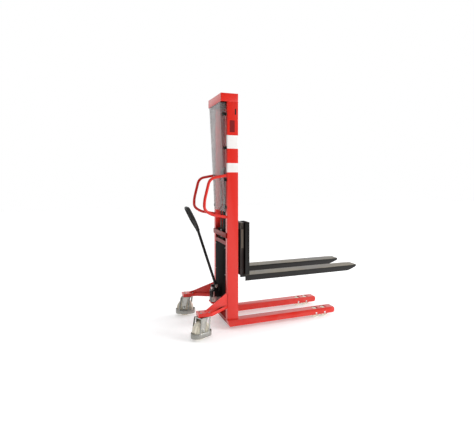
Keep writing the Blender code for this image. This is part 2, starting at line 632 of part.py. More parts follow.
# ---- rear arms and castors ------------------------------------------------------------------------
def rear_arm(name, side):
    """A splayed tray from the upright to the castor, stiffened by a gusset flush with the upright's side."""
    plan = [(-0.0006, 0.190), (-0.168, 0.295), (-0.280, 0.295), (-0.280, 0.400), (-0.168, 0.400),
            (-0.0006, 0.238)]
    tray = prism(mirrored(plan, side), "z", ARM_BOTTOM, ARM_TOP)
    under = prism(mirrored(inset(plan, 0.006), side), "z", ARM_BOTTOM - 0.010, ARM_TOP - 0.008)
    start, end = Vector((-0.0035, 0.2335)), Vector((-0.218, 0.345))
    ahead = (end - start).normalized()
    sideways = Vector((-ahead.y, ahead.x)) * 0.004
    foot = [start + sideways, start - sideways, end - sideways, end + sideways]
    gusset = prism(mirrored(foot, side), "z", ARM_TOP - 0.004, 0.325)
    length = (end - start).length
    wedge = prism([(-0.010, 0.325), (length + 0.010, ARM_TOP), (length + 0.010, 0.400), (-0.010, 0.400)],
                  "y", -0.020, 0.020)
    angle = math.atan2(side * ahead.y, ahead.x)
    bmesh.ops.rotate(wedge, verts=wedge.verts, matrix=Matrix.Rotation(angle, 3, "Z"))
    bmesh.ops.translate(wedge, verts=wedge.verts, vec=(start.x, side * start.y, 0))
    make(name, "red_paint", tray, welded=[gusset], cuts=[under, wedge])


def foot_guard(side_name, swivel):
    """A hoop of strip close to the floor round the wheel, hung from the castor's crown by four struts."""
    def hoop(radius, low, high):
        ends = arc((GUARD_REAR, 0), radius, 90, 270, 36) + arc((GUARD_FRONT, 0), radius, -90, 90, 36)
        return prism(ends, "z", low, high)

    low, high, top = 0.022, 0.062, 0.181
    inner = GUARD_RADIUS - GUARD_SHEET
    rear_strut = [(-0.086, high - 0.004), (-0.070, high - 0.004), (-0.050, top), (-0.064, top)]
    front_strut = [(0.000, high - 0.004), (0.014, high - 0.004), (0.028, top), (0.014, top)]
    welded = []
    for face in SIDES.values():
        for strut in (rear_strut, front_strut):
            welded.append(prism(strut, "y", *span(face, inner, GUARD_RADIUS - 0.0002)))
        welded.append(block((-0.064, 0.028), span(face, 0.036 + GAP, GUARD_RADIUS - 0.0004), (0.1775, top)))
    make(f"castor_guard_{side_name}", "zinc_plate", hoop(GUARD_RADIUS, low, high), welded=welded,
         cuts=[hoop(inner, low - 0.010, high + 0.0001)], parent=swivel)


def castor(side_name, side):
    """A swivel castor: fixed plate, turning fork, nylon wheel, axle and foot guard."""
    plate = block((CASTOR_X - 0.046, CASTOR_X + 0.046),
                  (side * CASTOR_Y - 0.042, side * CASTOR_Y + 0.042), (CASTOR_TOP - 0.006, CASTOR_TOP))
    make(f"castor_plate_{side_name}", "zinc_plate", plate)

    turn = -side * CASTOR_TURN
    swivel = empty(f"castor_swivel_{side_name}", (CASTOR_X, side * CASTOR_Y, 0), MACHINE, turn)
    centre = (-CASTOR_TRAIL, 0, CASTOR_WHEEL_RADIUS)
    race_top = CASTOR_TOP - 0.006 - GAP
    race = turned([(0, 0.177), (0.028, 0.177), (0.034, 0.186), (0.034, race_top), (0, race_top)], "z",
                  (0, 0, 0), 24)
    crown_plate = block((-0.066, 0.034), (-0.036, 0.036), (0.174, 0.181))
    leg = [(0.010, 0.179), (-0.058, 0.179), (-0.058, 0.148)] \
        + arc((centre[0], centre[2]), 0.015, 200, 340, 6) + [(0.000, 0.150)]
    legs = [prism(leg, "y", *span(face, 0.031, 0.036)) for face in SIDES.values()]
    axle_hole = pin("y", centre, 0.006 + GAP, 0.060)
    make(f"castor_fork_{side_name}", "zinc_plate", crown_plate, welded=[race] + legs,
         cuts=[axle_hole], parent=swivel)
    radius = CASTOR_WHEEL_RADIUS
    wheel = [(0.0063, -0.029), (0.019, -0.029), (0.019, -0.017), (0.053, -0.017), (0.056, -0.022),
             (radius - 0.004, -0.022), (radius, -0.017), (radius, 0.017), (radius - 0.004, 0.022),
             (0.056, 0.022), (0.053, 0.017), (0.019, 0.017), (0.019, 0.029), (0.0063, 0.029)]
    make(f"castor_wheel_{side_name}", "nylon", turned(wheel, "y", centre, 28), origin=centre, parent=swivel)
    axle = [(0, -0.043), (0.011, -0.043), (0.011, -0.036 - GAP), (0.006, -0.036 - GAP),
            (0.006, 0.036 + GAP), (0.011, 0.036 + GAP), (0.011, 0.044), (0, 0.044)]
    make(f"castor_axle_{side_name}", "zinc_plate", turned(axle, "y", centre, 12), origin=centre,
         parent=swivel)
    foot_guard(side_name, swivel)


# ---- assembly -------------------------------------------------------------------------------------
for side_name, side in SIDES.items():
    base_leg(f"base_leg_{side_name}", side)
    upright(f"upright_{side_name}", side)
    push_handle(f"push_handle_{side_name}", side)
    rear_arm(f"rear_arm_{side_name}", side)
    fork(f"fork_{side_name}", side)
    castor(side_name, side)
load_rollers()
base_crossmember()
mast_foot_plate()
crown()
mast_crossbar()
guard()
rear_cover()
cylinder()
lifting_rod()
sheave()
chain()
carriage()
carriage_rollers()
pump()
tiller()
release_valve_lever()
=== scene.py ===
"""Looks of a hand-hydraulic pallet stacker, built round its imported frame.

Metres, +Z up, +X towards the fork tips, +Y towards the machine's left. Sections follow the machine as it is
put together: base, mast, lifting gear, carriage, pump, tiller and castors.
"""
import json
import math

import bmesh
import bpy
import numpy as np
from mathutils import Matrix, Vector


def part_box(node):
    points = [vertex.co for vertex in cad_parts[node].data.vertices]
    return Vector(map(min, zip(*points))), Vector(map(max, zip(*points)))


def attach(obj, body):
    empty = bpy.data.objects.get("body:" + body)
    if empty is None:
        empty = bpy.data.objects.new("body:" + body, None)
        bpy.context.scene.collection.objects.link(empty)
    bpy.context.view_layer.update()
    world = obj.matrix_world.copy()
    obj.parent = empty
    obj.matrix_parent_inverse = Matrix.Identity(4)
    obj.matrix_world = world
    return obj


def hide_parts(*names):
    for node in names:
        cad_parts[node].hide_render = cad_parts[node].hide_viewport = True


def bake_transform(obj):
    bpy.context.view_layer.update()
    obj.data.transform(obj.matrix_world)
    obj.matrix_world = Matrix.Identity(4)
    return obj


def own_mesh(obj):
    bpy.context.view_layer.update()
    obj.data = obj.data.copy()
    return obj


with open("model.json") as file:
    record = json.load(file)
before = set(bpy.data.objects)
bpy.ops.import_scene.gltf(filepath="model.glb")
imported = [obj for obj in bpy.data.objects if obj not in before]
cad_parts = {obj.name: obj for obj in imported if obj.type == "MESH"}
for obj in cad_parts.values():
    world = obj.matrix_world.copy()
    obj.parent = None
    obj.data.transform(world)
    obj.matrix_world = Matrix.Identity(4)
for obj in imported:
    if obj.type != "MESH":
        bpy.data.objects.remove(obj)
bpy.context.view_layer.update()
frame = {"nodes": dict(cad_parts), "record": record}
mast_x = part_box("upright_right")[0].x
sides = {"right": -1, "left": 1}


# ---- Camera --------------------------------------------------------------------------------------------
# The machine is seen from behind its right side, a little below eye height. The lens is level, so the
# uprights stay parallel, and shifted, because the frame is cut from a wider one.
heading, tilt = math.radians(25.38), math.radians(0.23)
ahead = Vector((math.sin(heading) * math.cos(tilt), math.cos(heading) * math.cos(tilt), -math.sin(tilt)))
camera_data = bpy.data.cameras.new("camera")
camera_data.sensor_width = 36.0
camera_data.lens = 34.44
camera_data.shift_x = -0.1561
camera_data.shift_y = -0.0733
camera = bpy.data.objects.new("camera", camera_data)
camera.location = (mast_x - 1.0278, -4.0973, 1.3302)
camera.rotation_mode = "QUATERNION"
camera.rotation_quaternion = ahead.to_track_quat("-Z", "Y")
bpy.context.collection.objects.link(camera)
bpy.context.scene.camera = camera
bpy.context.scene.view_settings.view_transform = "Standard"


# ---- Studio --------------------------------------------------------------------------------------------
# A pale painted floor in a white tent that is dimmer behind the camera and behind the machine, with broad
# soft lamps. Node trees are written through Tone, a socket with plain arithmetic, and add_node.
class Tone:
    """One output socket; arithmetic on it adds Math nodes."""

    def __init__(self, tree, socket):
        self.tree, self.socket = tree, socket

    def maths(self, operation, first, second):
        """A Math node on two values, either of which may be a plain number."""
        return add_node(self.tree, "ShaderNodeMath", {"operation": operation}, {0: first, 1: second})

    def __add__(self, other):
        return self.maths("ADD", self, other)

    def __sub__(self, other):
        return self.maths("SUBTRACT", self, other)

    def __rsub__(self, other):
        return self.maths("SUBTRACT", other, self)

    def __mul__(self, other):
        return self.maths("MULTIPLY", self, other)

    __radd__ = __add__
    __rmul__ = __mul__


def add_node(tree, kind, settings=None, sockets=None, output=0):
    """Adds a node: its own settings first, then its inputs by name or number. Returns one output."""
    made = tree.nodes.new(kind)
    for key, value in (settings or {}).items():
        setattr(made, key, value)
    for key, value in (sockets or {}).items():
        if isinstance(value, Tone):
            tree.links.new(value.socket, made.inputs[key])
        else:
            made.inputs[key].default_value = value
    return Tone(tree, made.outputs[output])


class Finish:
    """A procedural material. Constants go straight on the Principled shader's sockets."""

    def __init__(self, name, **constants):
        self.material = bpy.data.materials.new(name)
        self.material.use_nodes = True
        self.tree = self.material.node_tree
        self.shader = self.tree.nodes["Principled BSDF"]
        by_name = {socket.name.lower(): socket for socket in self.shader.inputs}
        for key, value in constants.items():
            by_name[key.replace("_", " ")].default_value = value

    def feed(self, key, tone):
        """Links a value that varies over the surface to one of the shader's sockets."""
        self.tree.links.new(tone.socket, self.shader.inputs[key])

    def place(self, stretch=(1.0, 1.0, 1.0)):
        """Object coordinates, stretched along the axes."""
        where = add_node(self.tree, "ShaderNodeTexCoord", output="Object")
        return add_node(self.tree, "ShaderNodeMapping", sockets={"Vector": where, "Scale": stretch})

    def along(self, axis):
        """One object coordinate, X, Y or Z, in metres."""
        return add_node(self.tree, "ShaderNodeSeparateXYZ", sockets={"Vector": self.place()}, output=axis)

    def noise(self, scale, detail=3.0, stretch=(1.0, 1.0, 1.0), rough=0.55):
        """Smooth noise from 0 to 1, with scale blobs to the metre."""
        return add_node(self.tree, "ShaderNodeTexNoise", sockets={
            "Vector": self.place(stretch), "Scale": scale, "Detail": detail, "Roughness": rough})

    def ramp(self, value, low, high, start=0.0, end=1.0):
        """A value from low to high, carried over to start to end and held at both ends."""
        return add_node(self.tree, "ShaderNodeMapRange", {"clamp": True}, {
            "Value": value, "From Min": low, "From Max": high, "To Min": start, "To Max": end})

    def mix(self, share, first, second):
        """A mix of two colours by a share from 0 to 1."""
        return add_node(self.tree, "ShaderNodeMix", {"data_type": "RGBA"}, {0: share, 6: first, 7: second}, 2)

    def relief(self, height, distance, strength=1.0):
        """Fine bumps, distance metres deep."""
        self.feed("Normal", add_node(self.tree, "ShaderNodeBump", sockets={
            "Height": height, "Strength": strength, "Distance": distance}))


def colour(red, green, blue):
    """A colour with full alpha."""
    return (red, green, blue, 1.0)


floor_finish = Finish("pale_floor", roughness=0.6, emission_color=colour(1.0, 1.0, 1.0),
                      emission_strength=0.28)
floor_finish.feed("Base Color", floor_finish.mix(
    floor_finish.noise(0.8), colour(0.90, 0.90, 0.90), colour(0.87, 0.87, 0.875)))
floor_reach = 16.0
floor_mesh = bpy.data.meshes.new("floor")
floor_mesh.from_pydata([(x, y, 0.0) for x, y in (
    (-floor_reach, -floor_reach), (floor_reach, -floor_reach),
    (floor_reach, floor_reach), (-floor_reach, floor_reach))], [], [(0, 1, 2, 3)])
floor_mesh.materials.append(floor_finish.material)
floor = bpy.data.objects.new("floor", floor_mesh)
bpy.context.collection.objects.link(floor)

tent = bpy.data.worlds.new("tent")
tent.use_nodes = True
bright_side = (0.50, 0.65, 0.57)
towards = add_node(tent.node_tree, "ShaderNodeTexCoord", output="Generated")
facing = add_node(tent.node_tree, "ShaderNodeVectorMath", {"operation": "DOT_PRODUCT"},
                  {0: towards, 1: bright_side}, "Value")
brightness = add_node(tent.node_tree, "ShaderNodeMapRange", {"clamp": True}, {
    "Value": facing, "From Min": -0.55, "From Max": 0.35, "To Min": 0.10, "To Max": 1.0})
tent.node_tree.links.new(brightness.socket, tent.node_tree.nodes["Background"].inputs["Strength"])
tent.node_tree.nodes["Background"].inputs["Color"].default_value = colour(1.0, 1.0, 1.0)
bpy.context.scene.world = tent


def lamp(name, place, target, size, power):
    """A square soft lamp aimed at a point."""
    data = bpy.data.lights.new(name, "AREA")
    data.shape = "SQUARE"
    data.size = size
    data.energy = power
    made = bpy.data.objects.new(name, data)
    made.location = place
    made.rotation_mode = "QUATERNION"
    made.rotation_quaternion = (Vector(target) - Vector(place)).to_track_quat("-Z", "Y")
    bpy.context.collection.objects.link(made)


lamp("key_lamp", (4.0, -4.6, 2.6), (-0.2, 0.0, 0.9), 2.4, 215)
lamp("front_lamp", (4.6, 1.2, 2.4), (0.0, 0.0, 0.8), 2.2, 80)


# ---- Base: legs, cross channel and foot shelf ------------------------------------------------------------
# Two upside-down channels folded from 5 mm plate, tied by a channel under the mast and a shelf that carries
# cylinder and pump. Welded, then sprayed with red enamel, dusty low down and rubbed here and there.
def red_enamel(name, shade=1.0, gloss=0.25, shine=0.35):
    """Glossy red enamel: slow shade drift, orange peel, dull rubs with specks, and dust near the floor. A
    shade below 1 darkens all of it as painted shade.
    """
    made = Finish(name, specular_ior_level=shine, coat_roughness=0.10)
    drift = made.noise(1.9, 2.0)
    rubs = made.ramp(made.noise(7.0, 5.0, (1.0, 1.0, 0.30), 0.7), 0.58, 0.74)
    specks = made.ramp(made.noise(110.0, 4.0, rough=0.7), 0.64, 0.70)
    low_down = made.ramp(made.along("Z"), 0.03, 0.30, 1.0, 0.0)
    dust = made.ramp(made.noise(13.0, 5.0, rough=0.65), 0.40, 0.80) * low_down * 0.10
    paint = made.mix(drift, colour(0.620 * shade, 0.013 * shade, 0.006 * shade),
                     colour(0.720 * shade, 0.021 * shade, 0.010 * shade))
    rubbed = made.mix(rubs * 0.35, paint, colour(0.500 * shade, 0.018 * shade, 0.012 * shade))
    chipped = made.mix(specks * rubs * 0.6, rubbed, colour(0.110, 0.060, 0.055))
    made.feed("Base Color", made.mix(dust, chipped, colour(0.42, 0.36, 0.31)))
    made.feed("Roughness", 0.30 + rubs * 0.14 + dust * 1.5)
    made.feed("Coat Weight", made.ramp(rubs + dust * 3.0, 0.0, 1.0, gloss, gloss * 0.1))
    made.relief(made.noise(430.0, 2.0), 0.00012)
    return made


bodies = frame["record"]["behaviour"]["bodies"]
body_of = {node: body for body, nodes in bodies.items() for node in nodes}


def settle(piece, node, *others):
    """The piece stands for its CAD nodes, which are hidden, and rides on the first one's body."""
    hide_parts(node, *others)
    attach(piece, body_of[node])


def softened(node, finish, width=0.0015, segments=2, angle=28):
    """A copy of a CAD node: loose triangles merged, flat faces rejoined, and every sharp edge rounded off."""
    body = bmesh.new()
    body.from_mesh(frame["nodes"][node].data)
    bmesh.ops.remove_doubles(body, verts=body.verts, dist=0.00002)
    bmesh.ops.dissolve_limit(body, angle_limit=math.radians(1.5), verts=body.verts, edges=body.edges)
    mesh = bpy.data.meshes.new(node + "_skin")
    body.to_mesh(mesh)
    body.free()
    mesh.shade_smooth()
    mesh.materials.append(finish.material)
    piece = bpy.data.objects.new(node + "_skin", mesh)
    bpy.context.collection.objects.link(piece)
    edge = piece.modifiers.new("edges", "BEVEL")
    edge.width = width
    edge.segments = segments
    edge.limit_method = "ANGLE"
    edge.angle_limit = math.radians(angle)
    edge.harden_normals = True
    settle(piece, node)
    return piece


enamel = red_enamel("red_enamel")
# A darker copy of the red enamel, dim and nearly without shine: painted shade for parts that face away from
# the lamps.
painted_shade_enamel = red_enamel("painted_shade_enamel", 0.34, 0.0, 0.05)
for side in sides:
    softened(f"base_leg_{side}", enamel, 0.0020, 3)
# The cross channel's darker red is painted shade.
softened("base_crossmember", painted_shade_enamel, 0.0022, 3)
softened("mast_foot_plate", enamel, 0.0012)


def unit(vectors):
    """Vectors scaled to length one."""
    vectors = np.asarray(vectors, float)
    return vectors / np.linalg.norm(vectors, axis=-1, keepdims=True)


def eased(points, radius, steps=3, ring=True):
    """A polyline with its corners rounded: a corner c becomes (1-t)^2 a + 2t(1-t) c + t^2 b, where a and b
    lie one radius before and after it. An open line keeps its two ends."""
    points = np.asarray(points, float)
    back, onward = np.roll(points, 1, 0) - points, np.roll(points, -1, 0) - points
    lengths = np.stack([np.linalg.norm(back, axis=1), np.linalg.norm(onward, axis=1)])
    reach = np.minimum(radius, 0.49 * lengths.min(0))[:, None]
    first, last = points + unit(back) * reach, points + unit(onward) * reach
    t = np.linspace(0, 1, steps + 1)[None, :, None]
    bends = first[:, None] * (1 - t) ** 2 + points[:, None] * 2 * t * (1 - t) + last[:, None] * t ** 2
    if ring:
        return bends.reshape(-1, points.shape[1])
    return np.concatenate([points[:1], bends[1:-1].reshape(-1, points.shape[1]), points[-1:]])


def woven(grid, ring=False):
    """Quads over a grid whose columns close on themselves. Its rows close too, or get flat end caps."""
    rows, columns = grid.shape[:2]
    index = np.arange(rows * columns).reshape(rows, columns)
    low, high = (index, np.roll(index, -1, 0)) if ring else (index[:-1], index[1:])
    quads = np.stack([low, np.roll(low, -1, 1), np.roll(high, -1, 1), high], -1).reshape(-1, 4)
    caps = np.empty((0, columns), int) if ring else np.stack([index[0][::-1], index[-1]])
    return grid.reshape(-1, 3), quads, caps


def revolved(profile, centre, axis=(0, 1, 0), steps=40, ring=False, start=0.0):
    """A (radius, height) profile carried round an axis: centre + height a + radius (u cos t + v sin t).
    A ring profile closes on itself, and an open one gets flat ends."""
    profile = np.asarray(profile, float)
    upright = unit(axis)
    across = unit(np.cross(upright, (0, 0, 1) if abs(upright[2]) < 0.9 else (1, 0, 0)))
    turn = start + np.linspace(0, 2 * math.pi, steps, endpoint=False)
    around = np.cos(turn)[:, None] * across + np.sin(turn)[:, None] * np.cross(upright, across)
    grid = np.asarray(centre) + profile[:, None, 1:] * upright + profile[:, None, :1] * around
    return woven(grid, ring)


def carried(section, path, normal, ring=False, swell=1.0):
    """A closed section carried along a path: path + swell (s side + n upright), where side is square to the
    path and to the normal, and upright is square to both."""
    path, section = np.asarray(path, float), np.asarray(section, float)
    onward = np.roll(path, -1, 0) - np.roll(path, 1, 0)
    if not ring:
        onward[0], onward[-1] = path[1] - path[0], path[-1] - path[-2]
    onward = unit(onward)
    side = unit(np.cross(onward, normal))[:, None]
    upright = np.cross(side[:, 0], onward)[:, None]
    swell = np.broadcast_to(swell, len(path))[:, None, None]
    return woven(path[:, None] + swell * (section[:, :1] * side + section[:, 1:] * upright), ring)


def circle(radius, sides=16):
    """Points evenly round a circle."""
    turn = np.linspace(0, 2 * math.pi, sides, endpoint=False)
    return radius * np.stack([np.cos(turn), np.sin(turn)], -1)


def slab(outline, axis, low, high):
    """A flat outline carried straight along one axis from low to high; its points give the other two axes."""
    outline = np.asarray(outline, float)
    grid = np.empty((2, len(outline), 3))
    grid[..., axis] = np.array([[low], [high]])
    grid[..., [i for i in range(3) if i != axis]] = outline
    return woven(grid)


def rectangle(low, high):
    """The four corners of an upright rectangle."""
    return [(low[0], low[1]), (high[0], low[1]), (high[0], high[1]), (low[0], high[1])]


def solid(name, shapes, finish, edge=0.0, corner=35):
    """One object from closed shapes, facing outwards, smooth except over sharp corners."""
    points = np.concatenate([shape[0] for shape in shapes])
    starts = np.cumsum([0] + [len(shape[0]) for shape in shapes])
    faces = [part + start for shape, start in zip(shapes, starts) for part in shape[1:]]
    loops = np.concatenate([part.ravel() for part in faces])
    sizes = np.concatenate([np.full(len(part), part.shape[1]) for part in faces])
    mesh = bpy.data.meshes.new(name)
    mesh.vertices.add(len(points))
    mesh.vertices.foreach_set("co", points.ravel())
    mesh.loops.add(len(loops))
    mesh.loops.foreach_set("vertex_index", loops)
    mesh.polygons.add(len(sizes))
    mesh.polygons.foreach_set("loop_start", np.cumsum(sizes) - sizes)
    mesh.update(calc_edges=True)
    body = bmesh.new()
    body.from_mesh(mesh)
    bmesh.ops.recalc_face_normals(body, faces=body.faces)
    body.to_mesh(mesh)
    body.free()
    mesh.shade_smooth()
    mesh.set_sharp_from_angle(angle=math.radians(corner))
    mesh.materials.append(finish.material)
    piece = bpy.data.objects.new(name, mesh)
    bpy.context.collection.objects.link(piece)
    if edge:
        rounding = piece.modifiers.new("edges", "BEVEL")
        rounding.width = edge
        rounding.segments = 2
        rounding.limit_method = "ANGLE"
        rounding.harden_normals = True
    return piece


def added(piece, body):
    """A piece with no CAD node of its own rides on a body."""
    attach(piece, body)


def weld(first, last, normal, radius=0.0028):
    """A weld bead: a round section carried along a line, its radius rising and falling with every 3.5 mm."""
    first, last = np.asarray(first, float), np.asarray(last, float)
    length = np.linalg.norm(last - first)
    run = np.linspace(0, 1, max(6, int(length / 0.0012)))
    ripple = 1 + 0.13 * np.abs(np.sin(run * length * math.pi / 0.0035))
    ripple[0] = ripple[-1] = 0.55
    return carried(circle(radius, 8), first + run[:, None] * (last - first), normal, swell=ripple)


base_welds = []
for side, sign in sides.items():
    foot_low, foot_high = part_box(f"upright_{side}")
    y_low, y_high = sign * 0.2385, sign * 0.1875
    z = foot_low.z + 0.0004
    base_welds.append(weld((foot_low.x, y_low, z), (foot_low.x, y_high, z), (1, 0, 0)))
    base_welds.append(weld((foot_high.x, y_low, z), (foot_high.x, y_high, z), (1, 0, 0)))
    base_welds.append(weld((foot_low.x + 0.002, sign * 0.2405, z), (foot_high.x - 0.002, sign * 0.2405, z),
                           (0, 1, 0)))
    cross_low, cross_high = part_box("base_crossmember")
    base_welds.append(weld((cross_low.x + 0.004, sign * 0.1598, cross_high.z),
                           (cross_high.x - 0.002, sign * 0.1598, cross_high.z), (0, 1, 0), 0.0022))
added(solid("base_welds", base_welds, enamel), "frame")


# ---- Load rollers ----------------------------------------------------------------------------------------
# Two turned nylon rollers in each leg, cream white and grey where they meet the floor, on plain steel axles
# held by a round-headed pin on each side of the leg.
def cast_nylon(name):
    """Cream nylon: faint mottling, fine turning marks, and a rolled-in grey dirt film."""
    made = Finish(name, roughness=0.42, subsurface_weight=0.08, subsurface_radius=(0.004, 0.003, 0.002))
    mottle = made.noise(34.0, 4.0)
    film = made.ramp(made.noise(90.0, 5.0, (1.0, 0.35, 1.0), 0.7), 0.42, 0.72)
    fresh = made.mix(mottle, colour(0.78, 0.72, 0.58), colour(0.86, 0.81, 0.68))
    made.feed("Base Color", made.mix(film * 0.38, fresh, colour(0.36, 0.33, 0.28)))
    made.feed("Roughness", 0.36 + film * 0.25)
    made.relief(made.noise(600.0, 2.0), 0.0001)
    return made


def ground_steel(name, tint=(0.60, 0.60, 0.61), rough=0.22):
    """Ground bar: bright metal with a fine grain and thin smears of oil."""
    made = Finish(name, metallic=1.0)
    oil = made.ramp(made.noise(24.0, 4.0), 0.45, 0.75)
    made.feed("Base Color", made.mix(oil * 0.45, colour(*tint), colour(0.36, 0.33, 0.28)))
    made.feed("Roughness", rough + oil * 0.16 + made.noise(300.0, 2.0, (1.0, 1.0, 8.0)) * 0.10)
    made.relief(made.noise(500.0, 2.0, (1.0, 1.0, 6.0)), 0.00004)
    return made


def mirrored(profile):
    """A (radius, height) profile, then its mirror image across height 0 in reverse order."""
    return profile + [(radius, -height) for radius, height in reversed(profile)]


def turned_size(node):
    """The middle, radius and half width of a round CAD node whose axis lies along Y."""
    low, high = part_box(node)
    return (low + high) / 2, (high.z - low.z) / 2, (high.y - low.y) / 2


nylon = cast_nylon("cast_nylon")
steel = ground_steel("ground_steel")
for side in sides:
    for place in ("rear", "front"):
        node = f"load_roller_{side}_{place}"
        middle, radius, half = turned_size(node)
        bore, flank, dish = 0.0073, 0.004, 0.002
        ring = mirrored([(bore, -half), (radius * 0.45, -half), (radius * 0.52, -half + dish),
                         (radius * 0.80, -half + dish), (radius * 0.86, -half), (radius - flank, -half),
                         (radius, -half + flank)])
        settle(solid(node + "_turned", [revolved(eased(ring, 0.0012, 2), middle, ring=True, steps=44)],
                     nylon), node)
        axle_node = f"load_roller_axle_{side}_{place}"
        middle, radius, half = turned_size(axle_node)
        chamfer = 0.0012
        bar = mirrored([(radius - chamfer, -half), (radius, -half + chamfer)])
        dome = [(0.0085, 0.0), (0.0085, 0.0016), (0.0060, 0.0032), (0.0025, 0.0038)]
        heads = [revolved(dome, middle + Vector((0, face * (half - 0.0002), 0)), (0, face, 0), 20)
                 for face in (-1, 1)]
        settle(solid(axle_node + "_pin", [revolved(bar, middle, steps=24)] + heads, steel), axle_node)


# ---- Rear arms -------------------------------------------------------------------------------------------
# Trays folded from 6 mm plate that carry the castors out to the rear, each stiffened by an upright gusset
# welded along its foot and to the back of the upright, flush with its outer side.
arm_welds = []
for side, sign in sides.items():
    softened(f"rear_arm_{side}", enamel, 0.0024, 3)
    arm_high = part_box(f"rear_arm_{side}")[1]
    tray_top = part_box(f"castor_plate_{side}")[1].z + 0.0083
    root = np.array([mast_x - 0.0040, sign * 0.2335, tray_top])
    tip = np.array([mast_x - 0.210, sign * 0.3406, tray_top])
    beside = unit(np.cross(tip - root, (0, 0, 1))) * 0.0048
    for face in (-1, 1):
        arm_welds.append(weld(root + face * beside, tip + face * beside, (0, 0, 1)))
    arm_welds.append(weld((mast_x - 0.0015, sign * 0.2270, tray_top + 0.004),
                          (mast_x - 0.0015, sign * 0.2270, arm_high.z - 0.006), (1, 0, 0)))
    arm_welds.append(weld((mast_x - 0.0015, sign * 0.192, tray_top),
                          (mast_x - 0.0015, sign * 0.236, tray_top), (1, 0, 0)))
added(solid("arm_welds", arm_welds, enamel), "frame")


# ---- Uprights --------------------------------------------------------------------------------------------
# Two rolled channels with round outer corners, red all over. The right one is wrapped in two blank white
# vinyl bands, with a plain deep red sticker and a black plugged slot above them.
for side in sides:
    softened(f"upright_{side}", enamel, 0.0032, 3)


def vinyl(name, tint, rough):
    """Printed vinyl sheet: nearly flat, with faint waves, small scuffs and a yellowed edge here and there."""
    made = Finish(name, specular_ior_level=0.20)
    scuffs = made.ramp(made.noise(160.0, 4.0, (1.0, 1.0, 0.3), 0.7), 0.62, 0.74)
    grime = made.ramp(made.noise(16.0, 4.0), 0.50, 0.80)
    aged = made.mix(grime * 0.20, colour(*tint), colour(tint[0] * 0.75, tint[1] * 0.68, tint[2] * 0.60))
    made.feed("Base Color", made.mix(scuffs * 0.08, aged, colour(0.40, 0.36, 0.34)))
    made.feed("Roughness", rough + scuffs * 0.30)
    made.relief(made.noise(60.0, 2.0), 0.00015)
    return made


white_vinyl = vinyl("white_vinyl", (0.80, 0.78, 0.76), 0.40)
red_vinyl = vinyl("deep_red_vinyl", (0.19, 0.003, 0.003), 0.48)
low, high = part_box("upright_right")
film = 0.0005
for name, bottom, top in (("band_lower", 1.366, 1.446), ("band_upper", 1.572, 1.688)):
    wrap = [(low.x - film, low.y + 0.030), (low.x - film, low.y - film), (high.x + film, low.y - film),
            (high.x + film, low.y + 0.030), (high.x - 0.001, low.y + 0.030), (high.x - 0.001, low.y + 0.001),
            (low.x + 0.001, low.y + 0.001), (low.x + 0.001, low.y + 0.030)]
    ease = np.array([0, 0.0042, 0.0042, 0, 0, 0.0032, 0.0032, 0])
    added(solid(name, [slab(eased(wrap, ease, 4), 2, bottom, top)], white_vinyl), "frame")
patch = eased(rectangle((low.x + 0.022, 1.715), (low.x + 0.066, 1.818)), 0.003)
added(solid("red_sticker", [slab(patch, 1, low.y - film, low.y + 0.001)], red_vinyl), "frame")


def gloss_black(name, rough=0.40, gloss=0.10, shine=0.18):
    """Black gloss enamel: cloudy sheen, pale hair scratches and a little grey dust."""
    made = Finish(name, specular_ior_level=shine, coat_roughness=0.14)
    clouds = made.noise(5.0, 4.0)
    hairs = made.ramp(made.noise(130.0, 3.0, (0.10, 1.0, 1.0), 0.6), 0.66, 0.72)
    dust = made.ramp(made.noise(28.0, 5.0, rough=0.7), 0.52, 0.86)
    black = made.mix(clouds, colour(0.0060, 0.0055, 0.0055), colour(0.0140, 0.0125, 0.0120))
    dusty = made.mix(dust * 0.06, black, colour(0.22, 0.20, 0.17))
    made.feed("Base Color", made.mix(hairs * 0.16, dusty, colour(0.20, 0.18, 0.16)))
    made.feed("Roughness", rough + dust * 0.20 + hairs * 0.15)
    made.feed("Coat Weight", made.ramp(dust, 0.0, 1.0, gloss, 0.0))
    made.relief(made.noise(380.0, 2.0), 0.00012)
    return made


black = gloss_black("black_enamel")
slot_hole = eased(rectangle((low.x + 0.068, 1.868), (low.x + 0.079, 1.920)), 0.0052, 5)
added(solid("slot_plug", [slab(slot_hole, 1, low.y - 0.0012, low.y + 0.001)], black, 0.0004), "frame")


# ---- Crown -----------------------------------------------------------------------------------------------
# A deep folded cap welded over the upright tops and standing proud behind them, where the guard hangs from
# it. Its folded corners are generously round.
softened("crown_cap", enamel, 0.0050, 4)
crown_welds = []
for side, sign in sides.items():
    low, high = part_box(f"upright_{side}")
    z = high.z + 0.0002
    crown_welds.append(weld((low.x + 0.003, sign * 0.2402, z), (high.x - 0.003, sign * 0.2402, z),
                            (0, 1, 0), 0.0022))
    crown_welds.append(weld((high.x + 0.0002, sign * 0.190, z), (high.x + 0.0002, sign * 0.237, z),
                            (1, 0, 0), 0.0022))
added(solid("crown_welds", crown_welds, enamel), "frame")


# ---- Guard -----------------------------------------------------------------------------------------------
# A folded sheet of smoke-grey polycarbonate behind the chain, held to the uprights by blackened steel angle
# brackets with dark cross-head screws.
def smoked_sheet(name):
    """Smoke-grey polycarbonate: see-through, with vertical wipe marks and cloudier patches."""
    made = Finish(name, specular_ior_level=0.5)
    wipes = made.ramp(made.noise(46.0, 3.0, (1.0, 1.0, 0.06), 0.6), 0.50, 0.78)
    haze = made.noise(4.5, 4.0)
    made.feed("Base Color", made.mix(wipes * 0.5, colour(0.255, 0.225, 0.225), colour(0.40, 0.37, 0.36)))
    made.feed("Roughness", 0.12 + wipes * 0.22)
    made.feed("Alpha", made.ramp(haze + wipes * 0.35, 0.30, 0.95, 0.42, 0.60))
    return made


